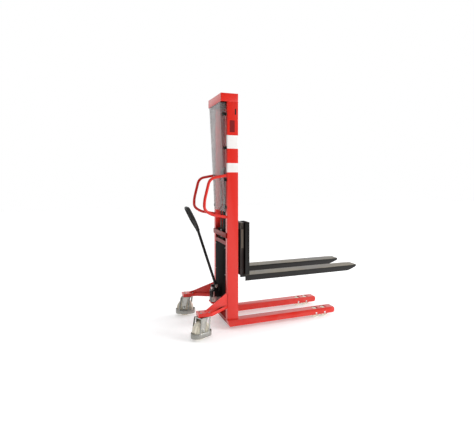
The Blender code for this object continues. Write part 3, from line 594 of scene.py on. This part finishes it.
def zinc(name, shade=1.0):
    """Bright zinc plate: olive grey with faint spangle, dull spots and a touch of yellow passivation."""
    made = Finish(name, metallic=0.92)
    spangle = made.noise(70.0, 3.0, rough=0.6)
    dull = made.ramp(made.noise(18.0, 5.0, rough=0.7), 0.48, 0.74)
    bright = made.mix(spangle, colour(0.39 * shade, 0.39 * shade, 0.37 * shade),
                      colour(0.55 * shade, 0.55 * shade, 0.50 * shade))
    made.feed("Base Color", made.mix(dull * 0.55, bright, colour(0.28 * shade, 0.27 * shade, 0.23 * shade)))
    made.feed("Roughness", 0.28 + dull * 0.26)
    made.relief(made.noise(260.0, 2.0), 0.00008)
    return made


smoke = smoked_sheet("smoked_polycarbonate")
plate = zinc("zinc_plate")
black_fixing = ground_steel("blackened_fixings", (0.050, 0.048, 0.046), 0.34)
softened("guard_panel", smoke, 0.0018, 3)


def hexagon_bolt(point, axis, size=0.0065, height=0.0045, washer=True):
    """A hexagon head with a chamfered crown on a flat washer."""
    point, axis = np.asarray(point, float), unit(axis)
    head = [(size, 0.0), (size, height * 0.75), (size * 0.86, height)]
    shapes = [revolved(head, point + axis * (0.0012 if washer else 0.0), axis, 6, start=0.26)]
    if washer:
        ring = [(size * 1.42, 0.0), (size * 1.50, 0.0004), (size * 1.50, 0.0011), (size * 1.42, 0.0015)]
        shapes.append(revolved(ring, point - axis * 0.0002, axis, 20))
    return shapes


def pan_screw(point, axis, size=0.0052):
    """A pan-head screw: a flattened dome with a shallow round recess."""
    dome = [(size, 0.0), (size * 0.98, 0.0009), (size * 0.82, 0.0022), (size * 0.50, 0.0030),
            (size * 0.32, 0.0031), (size * 0.24, 0.0020)]
    return [revolved(dome, np.asarray(point, float) - 0.0003 * unit(axis), axis, 16)]


guard_low, guard_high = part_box("guard_panel")
brackets, bracket_screws = [], []
for z in (1.062, 1.300, 1.580, 1.874):
    depth = 0.010 + 0.030 * (z - guard_low.z) / (guard_high.z - guard_low.z)
    for sign in sides.values():
        wall, foot, back, thick = 0.2006, 0.2300, mast_x - 0.0002, 0.0020
        angle_iron = [(back, wall), (back, foot), (back - thick, foot), (back - thick, wall + thick),
                      (back - depth, wall + thick), (back - depth, wall)]
        brackets.append(slab([(x, sign * y) for x, y in angle_iron], 2, z - 0.013, z + 0.013))
        bracket_screws += pan_screw((back - thick, sign * 0.2175, z), (-1, 0, 0))
        if depth > 0.018:
            bracket_screws += pan_screw((back - depth * 0.62, sign * (wall + thick), z), (0, sign, 0), 0.0045)
added(solid("guard_brackets", brackets, black_fixing, 0.0006), "frame")
added(solid("guard_screws", bracket_screws, black_fixing), "frame")


# ---- Cross bar and chain anchor --------------------------------------------------------------------------
# A flat bar welded across the backs of the uprights. A bracket at its middle takes the threaded anchor of the
# lifting chain, locked by a nut.
# The bar and its welds are darker red as painted shade.
softened("mast_crossbar", painted_shade_enamel, 0.0020, 3)
bar_low, bar_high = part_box("mast_crossbar")
bar_welds = []
for sign in sides.values():
    for z in (bar_low.z, bar_high.z):
        bar_welds.append(weld((bar_high.x - 0.001, sign * 0.188, z), (bar_high.x - 0.001, sign * 0.229, z),
                              (1, 0, 0), 0.0024))
    bar_welds.append(weld((bar_high.x - 0.001, sign * 0.2322, bar_low.z),
                          (bar_high.x - 0.001, sign * 0.2322, bar_high.z), (1, 0, 0), 0.0024))
added(solid("crossbar_welds", bar_welds, painted_shade_enamel), "frame")


def oiled_steel(name, tint=(0.115, 0.105, 0.095)):
    """Dark rolled steel under chain oil: brown-grey, blotched, with glossy wet patches."""
    made = Finish(name, metallic=0.85)
    wet = made.ramp(made.noise(55.0, 4.0, rough=0.6), 0.45, 0.62)
    rust = made.ramp(made.noise(120.0, 4.0, rough=0.7), 0.58, 0.76)
    base = made.mix(wet, colour(*tint), colour(tint[0] * 0.45, tint[1] * 0.42, tint[2] * 0.38))
    made.feed("Base Color", made.mix(rust * 0.35, base, colour(0.16, 0.075, 0.035)))
    made.feed("Roughness", 0.50 - wet * 0.26)
    made.relief(made.noise(320.0, 3.0), 0.00012)
    return made


oiled = oiled_steel("oiled_steel")
softened("chain_anchor_bracket", oiled, 0.0012)
anchor_low, anchor_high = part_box("chain_anchor_bolt")
anchor = np.array([(anchor_low.x + anchor_high.x) / 2, 0.0, 0.0])
thread_z = np.arange(anchor_low.z + 0.001, anchor_high.z - 0.012, 0.0008)
thread_r = 0.0046 + 0.0004 * (np.arange(len(thread_z)) % 2)
stud = np.concatenate([np.stack([thread_r, thread_z], -1), [(0.0050, anchor_high.z - 0.010),
                                                            (0.0050, anchor_high.z - 0.0005)]])
nut_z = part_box("chain_anchor_bracket")[0].z
nut = [(0.0066, nut_z - 0.0095), (0.0075, nut_z - 0.0088), (0.0075, nut_z - 0.0010), (0.0066, nut_z - 0.0003)]
settle(solid("chain_anchor_stud", [revolved(stud, anchor, (0, 0, 1), 14),
                                   revolved(nut, anchor, (0, 0, 1), 6)], steel), "chain_anchor_bolt")


# ---- Rear cover ------------------------------------------------------------------------------------------
# A black sheet that closes the mast behind the cylinder, with one pressed rib, six screws, and a red flange
# above it that ties it to the uprights.
cover_black = gloss_black("cover_black", 0.75, 0.0, 0.02)
softened("rear_cover", cover_black, 0.0010)
low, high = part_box("rear_cover")
rib_steps = 24
rib_z = np.linspace(low.z + 0.045, high.z - 0.045, rib_steps)
rib_path = np.stack([np.full(rib_steps, low.x + 0.0002), np.full(rib_steps, -0.100), rib_z], -1)
rib_swell = np.sqrt(np.clip(1 - np.abs(np.linspace(-1, 1, rib_steps)) ** 14, 0.04, 1))
added(solid("cover_rib", [carried(circle(0.0034, 12), rib_path, (1, 0, 0), swell=rib_swell)], cover_black),
      "frame")
cover_screws = []
for z in (low.z + 0.018, (low.z + high.z) / 2, high.z - 0.018):
    for sign in sides.values():
        cover_screws += pan_screw((low.x, sign * 0.171, z), (-1, 0, 0), 0.0060)
added(solid("cover_screws", cover_screws, plate), "frame")
# The flange's dark red is painted shade.
flange = slab(eased(rectangle((-0.1835, 0.7260), (0.1835, 0.7600)), 0.006), 0, low.x - 0.0002, low.x + 0.0030)
added(solid("cover_flange", [flange], painted_shade_enamel, 0.0008), "frame")


# ---- Push handles ----------------------------------------------------------------------------------------
# Two bent tubes, 25 mm across, welded to the backs of the uprights, in their own copy of the rubbed red
# enamel.
handle_line = [(0.0020, 1.3407), (-0.148, 1.312), (-0.194, 1.120), (-0.194, 1.045), (-0.134, 1.002),
               (0.0020, 0.9756)]
worn_enamel = red_enamel("handled_enamel")
for side, sign in sides.items():
    node = f"push_handle_{side}"
    low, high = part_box(node)
    middle = (low.y + high.y) / 2
    bent = eased(handle_line, np.array([0, 0.050, 0.050, 0.032, 0.034, 0]), 9, ring=False)
    path = np.stack([mast_x + bent[:, 0], np.full(len(bent), middle), bent[:, 1]], -1)
    collars = []
    for end in (0, -1):
        bead = [(0.0122, -0.0022), (0.0150, -0.0018), (0.0146, 0.0008), (0.0122, 0.0024)]
        collars.append(revolved(bead, (mast_x - 0.0012, middle, bent[end, 1]), (-1, 0, 0), 28, ring=True))
    settle(solid(node + "_tube", [carried(circle(0.0125, 24), path, (0, 1, 0))] + collars, worn_enamel), node)


# ---- Cylinder and rod ------------------------------------------------------------------------------------
# A honed tube painted black, closed by a knurled zinc gland with a wiper, and a ground rod that carries the
# chain wheel in a steel fork.
low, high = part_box("cylinder_tube")
axis = np.array([(low.x + high.x) / 2, 0.0, 0.0])
radius = (high.x - low.x) / 2
tube_line = [(radius - 0.0012, low.z), (radius, low.z + 0.0012), (radius, low.z + 0.012),
             (radius - 0.0016, low.z + 0.016), (radius - 0.0016, high.z - 0.030), (radius, high.z - 0.027),
             (radius, high.z - 0.001), (radius - 0.001, high.z)]
settle(solid("cylinder_barrel", [revolved(tube_line, axis, (0, 0, 1), 48)], black), "cylinder_tube")
low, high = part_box("cylinder_gland")
radius = (high.x - low.x) / 2
knurl_points = 72
knurl = radius - 0.0007 * (np.arange(knurl_points) % 2)
gland_rows = [(0.986, low.z + 0.0002), (1.0, low.z + 0.0016), (1.0, high.z - 0.012), (0.93, high.z - 0.0095),
              (0.93, high.z - 0.0035), (0.86, high.z - 0.0010)]
turn = np.linspace(0, 2 * math.pi, knurl_points, endpoint=False)
gland_grid = np.stack([np.stack([axis[0] + share * knurl * np.cos(turn), share * knurl * np.sin(turn),
                                 np.full(knurl_points, z)], -1) for share, z in gland_rows])
wiper = [(0.0178, high.z - 0.002), (0.0225, high.z - 0.002), (0.0225, high.z - 0.0006),
         (0.0178, high.z - 0.0001)]
settle(solid("cylinder_nut", [woven(gland_grid), revolved(wiper, axis, (0, 0, 1), 40, ring=True)], plate),
       "cylinder_gland")
low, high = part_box("piston_rod")
rod_line = [(0.0170, low.z + 0.031), (0.0175, low.z + 0.0325), (0.0175, high.z - 0.010),
            (0.0160, high.z - 0.008), (0.0160, high.z)]
chromed = ground_steel("chromed_rod", (0.70, 0.70, 0.71), 0.10)
settle(solid("ground_rod", [revolved(rod_line, axis, (0, 0, 1), 48)], chromed), "piston_rod")
softened("sheave_yoke", oiled, 0.0016, 3)
low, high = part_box("sheave_pin")
hub = (low + high) / 2
pin_line = [(0.0128, low.y), (0.0140, low.y + 0.0012), (0.0140, low.y + 0.0060), (0.0100, low.y + 0.0062),
            (0.0100, high.y - 0.0012), (0.0088, high.y)]
settle(solid("sheave_bolt", [revolved(pin_line, (hub.x, 0, hub.z), (0, 1, 0), 28)], steel), "sheave_pin")
low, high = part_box("chain_sheave")
rim, half = (high.z - low.z) / 2, (high.y - low.y) / 2
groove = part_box("chain_over_sheave")[1].z - hub.z - 0.0120
wheel_ring = [(0.0103, -half), (0.0180, -half), (0.0200, -half + 0.0022), (0.0330, -half + 0.0022),
              (0.0350, -half), (rim - 0.0012, -half), (rim, -half + 0.0010), (rim - 0.0006, -half + 0.0020),
              (groove, -half + 0.0030)]
settle(solid("grooved_sheave", [revolved(mirrored(wheel_ring), (hub.x, 0, hub.z), (0, 1, 0), 56, ring=True)],
             oiled), "chain_sheave")


# ---- Lifting chain ---------------------------------------------------------------------------------------
# A leaf chain of riveted waisted plates, 12.7 mm pitch, from the anchor up over the wheel and down to the
# carriage. The two straight runs are baked in place; the half turn rides on the rod.
pitch = 0.0127
plate_half, chain_half = 0.0056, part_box("chain_over_sheave")[1].y
leaf = (chain_half * 2 - 0.0016) / 7


def chain_run(points):
    """Links between neighbouring points of a line in the XZ plane. A link's outline is two round ends joined
    by a waist; plates alternate four and three across, and a rivet crosses them at each point."""
    points = np.asarray(points, float)
    half_turn = np.linspace(-math.pi / 2, math.pi / 2, 5)
    shapes = []
    for number, (first, last) in enumerate(zip(points[:-1], points[1:])):
        length = np.linalg.norm(last - first)
        onward = (last - first) / length
        square = np.array([-onward[1], onward[0]])
        far = np.stack([length + plate_half * 0.98 * np.cos(half_turn), plate_half * np.sin(half_turn)], -1)
        waist = np.array([[length / 2, plate_half * 0.72]])
        near = np.stack([-plate_half * 0.98 * np.cos(half_turn), -plate_half * np.sin(half_turn)], -1)
        outline = np.concatenate([far, waist, near, waist * (1, -1)])
        flat = first + outline[:, :1] * onward + outline[:, 1:] * square
        for place in range(number % 2, 7, 2):
            y = -chain_half + 0.0008 + place * leaf
            shapes.append(slab(flat, 1, y + 0.0001, y + leaf - 0.0001))
    for point in points:
        rivet = mirrored([(0.0022, -chain_half), (0.0026, -chain_half + 0.0006)])
        shapes.append(revolved(rivet, (point[0], 0, point[1]), (0, 1, 0), 8))
    return shapes


line = (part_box("chain_over_sheave")[1].z - hub.z) - plate_half - 0.0001
rear_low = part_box("chain_rear_run")[0]
front_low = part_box("chain_front_run")[0]
rear_x, front_x = hub.x - line, hub.x + line
rear_links = round((hub.z - rear_low.z) / pitch)
front_links = round((hub.z - front_low.z) / pitch)
rear_line = np.stack([np.full(rear_links + 1, rear_x),
                      np.linspace(rear_low.z + 0.006, hub.z, rear_links + 1)], -1)
front_line = np.stack([np.full(front_links + 1, front_x),
                       np.linspace(front_low.z + 0.006, hub.z, front_links + 1)], -1)
arc_turn = np.linspace(math.pi, 0, 12)
arc_line = np.stack([hub.x + line * np.cos(arc_turn), hub.z + line * np.sin(arc_turn)], -1)
settle(solid("chain_half_turn", chain_run(arc_line), oiled), "chain_over_sheave")
for name, node, line_points in (("chain_rear", "chain_rear_run", rear_line),
                                ("chain_front", "chain_front_run", front_line)):
    run = solid(name, chain_run(line_points), oiled)
    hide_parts(node)
    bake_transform(run)


# ---- Carriage --------------------------------------------------------------------------------------------
# A welded frame of flat bars painted black, greasy inside, running in the mast on four steel rollers. The
# chain is pinned to a lug on its middle bar, and its outer sides are worn to bare steel at the top.
def greasy_black(name):
    """Black paint rubbed to brown-grey metal on high spots, with smears of grease."""
    made = Finish(name, specular_ior_level=0.4)
    smears = made.ramp(made.noise(20.0, 5.0, (1.0, 1.0, 0.25), 0.65), 0.46, 0.70)
    upper = made.ramp(made.along("Z"), 0.64, 0.74)
    rubbed = made.ramp(made.noise(46.0, 5.0, (1.0, 1.0, 0.15), 0.6), 0.50, 0.70)
    base = made.mix(smears, colour(0.014, 0.009, 0.008), colour(0.040, 0.016, 0.012))
    made.feed("Base Color", made.mix(rubbed * upper * 0.55, base, colour(0.24, 0.20, 0.15)))
    made.feed("Roughness", 0.46 - smears * 0.16)
    made.feed("Metallic", rubbed * upper * 0.5)
    made.relief(made.noise(300.0, 3.0), 0.00015)
    return made


carriage_black = greasy_black("carriage_black")
softened("carriage_frame", carriage_black, 0.0022, 3)
worn_steel = ground_steel("worn_bar", (0.26, 0.21, 0.165), 0.46)
strip_face = rectangle((mast_x + 0.126, 0.700), (mast_x + 0.146, 0.866))
wear_strips = [slab(strip_face, 1, *sorted((sign * 0.2368, sign * 0.2385))) for sign in sides.values()]
added(solid("carriage_wear_strips", wear_strips, worn_steel, 0.0005), "carriage")
roller_steel = oiled_steel("roller_steel", (0.20, 0.19, 0.175))
for level in ("lower", "upper"):
    for side in sides:
        node = f"carriage_roller_{level}_{side}"
        middle, radius, half = turned_size(node)
        ring = mirrored([(0.0123, -half), (0.020, -half), (0.0215, -half + 0.0014), (0.0285, -half + 0.0014),
                         (0.030, -half), (radius - 0.0022, -half), (radius, -half + 0.0022)])
        settle(solid(node + "_bearing", [revolved(ring, middle, steps=48, ring=True)], roller_steel), node)


# ---- Forks -----------------------------------------------------------------------------------------------
# Blades and shanks pressed from plate and painted black. Pallets have scraped the paint off the tops down to
# dull beige-grey metal, brightest along the inner edges.
def scraped_black(name, top):
    """Gloss black; on the blade's top the paint is scraped along X down to dull bare metal."""
    made = Finish(name, specular_ior_level=0.22, coat_roughness=0.16)
    height = made.along("Z")
    on_top = made.ramp(height, top - 0.0022, top - 0.0006) * made.ramp(height, top + 0.0030, top + 0.0010)
    streaks = made.ramp(made.noise(150.0, 5.0, (0.035, 1.0, 1.0), 0.65), 0.36, 0.62)
    patches = made.ramp(made.noise(3.2, 5.0, (0.8, 2.4, 1.0), 0.62), 0.30, 0.56)
    bare = on_top * (streaks * 0.45 + 0.55) * patches
    side_scrapes = made.ramp(made.noise(70.0, 5.0, (0.05, 1.0, 1.0), 0.7), 0.66, 0.74) * 0.35
    clouds = made.noise(4.0, 4.0)
    black_coat = made.mix(clouds, colour(0.0055, 0.0050, 0.0045), colour(0.0130, 0.0115, 0.0100))
    metal = made.mix(streaks, colour(0.115, 0.095, 0.064), colour(0.280, 0.238, 0.165))
    scraped = made.mix(side_scrapes, black_coat, colour(0.10, 0.085, 0.065))
    made.feed("Base Color", made.mix(bare, scraped, metal))
    made.feed("Roughness", 0.30 + bare * 0.16 + streaks * 0.06)
    made.feed("Metallic", bare * 0.75)
    made.feed("Coat Weight", made.ramp(bare, 0.0, 1.0, 0.10, 0.0))
    made.relief(made.noise(260.0, 3.0, (0.10, 1.0, 1.0)), 0.00016)
    return made


fork_finish = scraped_black("scraped_black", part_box("fork_right")[0].z + 0.050)
for side in sides:
    softened(f"fork_{side}", fork_finish, 0.0030, 3)


# ---- Pump ------------------------------------------------------------------------------------------------
# A casting painted black above and left grey at its foot. The tiller's cam presses a ground plunger down
# against a coil spring, and a small zinc lever on its side opens the lowering valve.
low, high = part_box("pump_body")
plunger_low, plunger_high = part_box("pump_plunger")
well = np.array([(plunger_low.x + plunger_high.x) / 2, 0.0, 0.0])
pump_paint = gloss_black("pump_black", 0.55, 0.0, 0.10)
casting = pump_paint.ramp(pump_paint.along("Z"), 0.2435, 0.2425)
painted = Tone(pump_paint.tree, pump_paint.shader.inputs["Base Color"].links[0].from_socket)
pump_paint.feed("Base Color", pump_paint.mix(casting, painted, colour(0.30, 0.285, 0.27)))
softened("pump_body", pump_paint, 0.0045, 4)
collar_z = 0.2980
collar = [(0.0185, collar_z - 0.002), (0.0255, collar_z - 0.002), (0.0255, collar_z + 0.0040),
          (0.0240, collar_z + 0.0055), (0.0195, collar_z + 0.0055), (0.0185, collar_z + 0.0040)]
sockets = []
for x, y in ((-0.082, -0.030), (-0.082, 0.030), (-0.020, -0.030), (-0.020, 0.030)):
    cap = [(0.0055, 0.0), (0.0055, 0.0042), (0.0049, 0.0050), (0.0030, 0.0050), (0.0028, 0.0022)]
    sockets.append(revolved(cap, (mast_x + x, y, 0.2978), (0, 0, 1), 20))
added(solid("pump_fixings", [revolved(collar, well, (0, 0, 1), 36, ring=True)] + sockets, black_fixing),
      "frame")
foot_rows = eased(rectangle((low.x + 0.004, -0.0425), (low.x + 0.048, -0.0395)), 0.001)
valve_face = slab(foot_rows, 2, low.z + 0.004, low.z + 0.048)
plug = [(0.0085, 0.0), (0.0085, 0.004), (0.0060, 0.006), (0.0035, 0.006), (0.0032, 0.003)]
valve_plug = revolved(plug, (low.x + 0.014, -0.0424, low.z + 0.020), (0, -1, 0), 6)
added(solid("valve_block", [valve_face, valve_plug], plate, 0.0008), "frame")
stem = [(0.0086, plunger_low.z), (0.0090, plunger_low.z + 0.001), (0.0090, plunger_high.z - 0.0088),
        (0.0142, plunger_high.z - 0.0080), (0.0150, plunger_high.z - 0.0070),
        (0.0150, plunger_high.z - 0.0012), (0.0138, plunger_high.z)]
settle(solid("plunger", [revolved(stem, well, (0, 0, 1), 36)], steel), "pump_plunger")
spring_low, spring_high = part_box("pump_spring")
turns, coil_radius = 6.5, 0.0130
coil_share = np.linspace(0, 1, 160)
coil_turn = coil_share * turns * 2 * math.pi
coil_height = spring_low.z + 0.0016 + coil_share * (spring_high.z - spring_low.z - 0.0032)
coil = np.stack([well[0] + coil_radius * np.cos(coil_turn), coil_radius * np.sin(coil_turn), coil_height], -1)
spring = solid("return_spring", [carried(circle(0.0014, 8), coil, (0, 0, 1))], steel)
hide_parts("pump_spring")
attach(spring, "frame")
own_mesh(spring)
low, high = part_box("filler_plug")
middle = (low + high) / 2
settle(solid("filler_cap", hexagon_bolt((middle.x, middle.y, low.z), (0, 0, 1), 0.0078, 0.0066), plate),
       "filler_plug")
softened("release_valve_lever", plate, 0.0012)


# ---- Tiller ----------------------------------------------------------------------------------------------
# A black tube on a hub that carries the cam, ending in a moulded loop grip with a squeeze lever in it. The
# hub turns on a zinc bolt with a hexagon head and a lock nut.
softened("tiller_tube", black, 0.0015, 3)
low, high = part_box("tiller_pin")
pivot = (low + high) / 2
settle(solid("tiller_bolt", hexagon_bolt((pivot.x, -0.0322, pivot.z), (0, -1, 0), 0.0105, 0.0060)
             + hexagon_bolt((pivot.x, 0.0322, pivot.z), (0, 1, 0), 0.0100, 0.0055)
             + [revolved([(0.0070, -0.0330), (0.0070, 0.0330)], (pivot.x, 0, pivot.z), (0, 1, 0), 24)],
             plate), "tiller_pin")


def moulded_rubber(name):
    """Black moulded grip: matt, pebbled, greyer where hands have polished it."""
    made = Finish(name, specular_ior_level=0.35)
    polish = made.ramp(made.noise(15.0, 4.0), 0.45, 0.70)
    made.feed("Base Color", made.mix(polish, colour(0.0100, 0.0100, 0.0100), colour(0.026, 0.026, 0.024)))
    made.feed("Roughness", 0.62 - polish * 0.20)
    made.relief(made.noise(900.0, 2.0), 0.00025)
    return made


lean, grip_lean = math.radians(17.5), math.radians(26)
tiller_length = 0.540
joint = np.array([pivot.x - tiller_length * math.sin(lean), 0.0, pivot.z + tiller_length * math.cos(lean)])
up = np.array([-math.sin(grip_lean), 0.0, math.cos(grip_lean)])
across, face_out = np.array([0.0, 1.0, 0.0]), np.array([math.cos(grip_lean), 0.0, math.sin(grip_lean)])
loop_corners = [(-0.028, 0.016), (-0.078, 0.094), (-0.068, 0.216), (0.068, 0.216), (0.078, 0.094),
                (0.028, 0.016)]
flat_loop = eased(loop_corners, np.array([0.020, 0.040, 0.030, 0.030, 0.040, 0.020]), 7)
dense = np.linspace(flat_loop, np.roll(flat_loop, -1, 0), 6, endpoint=False, axis=1).reshape(-1, 2)
loop_path = joint + dense[:, :1] * across + dense[:, 1:] * up
run = np.cumsum(np.linalg.norm(dense - np.roll(dense, 1, 0), axis=1))
ribbed = np.where(dense[:, 1] > 0.100, 1 + 0.035 * np.sin(run * 2 * math.pi / 0.006), 1.0)
grip_finish = moulded_rubber("moulded_grip")
socket_line = [joint - 0.012 * np.array([-math.sin(lean), 0, math.cos(lean)]), joint,
               joint + 0.012 * up, joint + 0.030 * up]
socket_shape = carried(circle(0.0161, 24), eased(socket_line, 0.008, 3, ring=False), (0, 1, 0),
                       swell=np.interp(np.arange(10), [0, 1, 8, 9], [0.93, 1.0, 1.0, 0.90]))
oval = circle(0.0130, 16) * (1.0, 1.08)
settle(solid("loop_grip", [carried(oval, loop_path, face_out, ring=True, swell=ribbed), socket_shape],
             grip_finish, corner=50), "tiller_grip")
softened("release_trigger", grip_finish, 0.0014, 3)


# ---- Castors ---------------------------------------------------------------------------------------------
# Zinc-plated swivel castors with a ball race, cream nylon wheels and an axle bolt, each inside a hoop of
# strip that keeps feet clear of the wheel, and held under its arm by four bolts.
castor_turn = math.radians(25)
strip = zinc("guard_strip", 0.72)
for side, sign in sides.items():
    softened(f"castor_plate_{side}", plate, 0.0018, 3)
    softened(f"castor_fork_{side}", plate, 0.0016, 2)
    softened(f"castor_guard_{side}", strip, 0.0008, 2)
    low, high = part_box(f"castor_plate_{side}")
    centre = (low + high) / 2
    bolts = []
    for dx in (-0.034, 0.034):
        for dy in (-0.033, 0.033):
            bolts += hexagon_bolt((centre.x + dx, centre.y + dy, high.z + 0.0081), (0, 0, 1), 0.0062, 0.0048)
            bolts += hexagon_bolt((centre.x + dx, centre.y + dy, low.z), (0, 0, -1), 0.0062, 0.0042, False)
    added(solid(f"castor_bolts_{side}", bolts, plate), "frame")
    race = [(0.0365, 0.1840), (0.0385, 0.1862), (0.0385, 0.1955), (0.0365, 0.1985), (0.0300, 0.1990),
            (0.0300, 0.1835)]
    turned_race = revolved(race, (centre.x, centre.y, 0), (0, 0, 1), 44, ring=True)
    added(solid(f"castor_race_{side}", [turned_race], plate), f"castor_{side}")
    node = f"castor_wheel_{side}"
    low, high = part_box(node)
    middle, radius = (low + high) / 2, (high.z - low.z) / 2
    turn = -sign * castor_turn
    axle = (-math.sin(turn), math.cos(turn), 0.0)
    tyre = [(0.0064, -0.0288), (0.0150, -0.0288), (0.0190, -0.0260), (0.0200, -0.0165), (0.0240, -0.0150),
            (0.0480, -0.0150), (0.0520, -0.0170), (0.0560, -0.0215), (radius - 0.0050, -0.0220),
            (radius - 0.0012, -0.0175), (radius, -0.0120)]
    section = eased(mirrored(tyre), 0.0022, 3)
    settle(solid(node + "_turned", [revolved(section, middle, axle, 64, ring=True)], nylon), node)
    node = f"castor_axle_{side}"
    nose = np.array(axle)
    middle = np.array(middle)
    settle(solid(node + "_bolt", hexagon_bolt(middle - nose * 0.0366, -nose, 0.0102, 0.0060)
                 + hexagon_bolt(middle + nose * 0.0366, nose, 0.0100, 0.0064)
                 + [revolved([(0.0059, -0.0370), (0.0059, 0.0370)], middle, axle, 24)], plate), node)
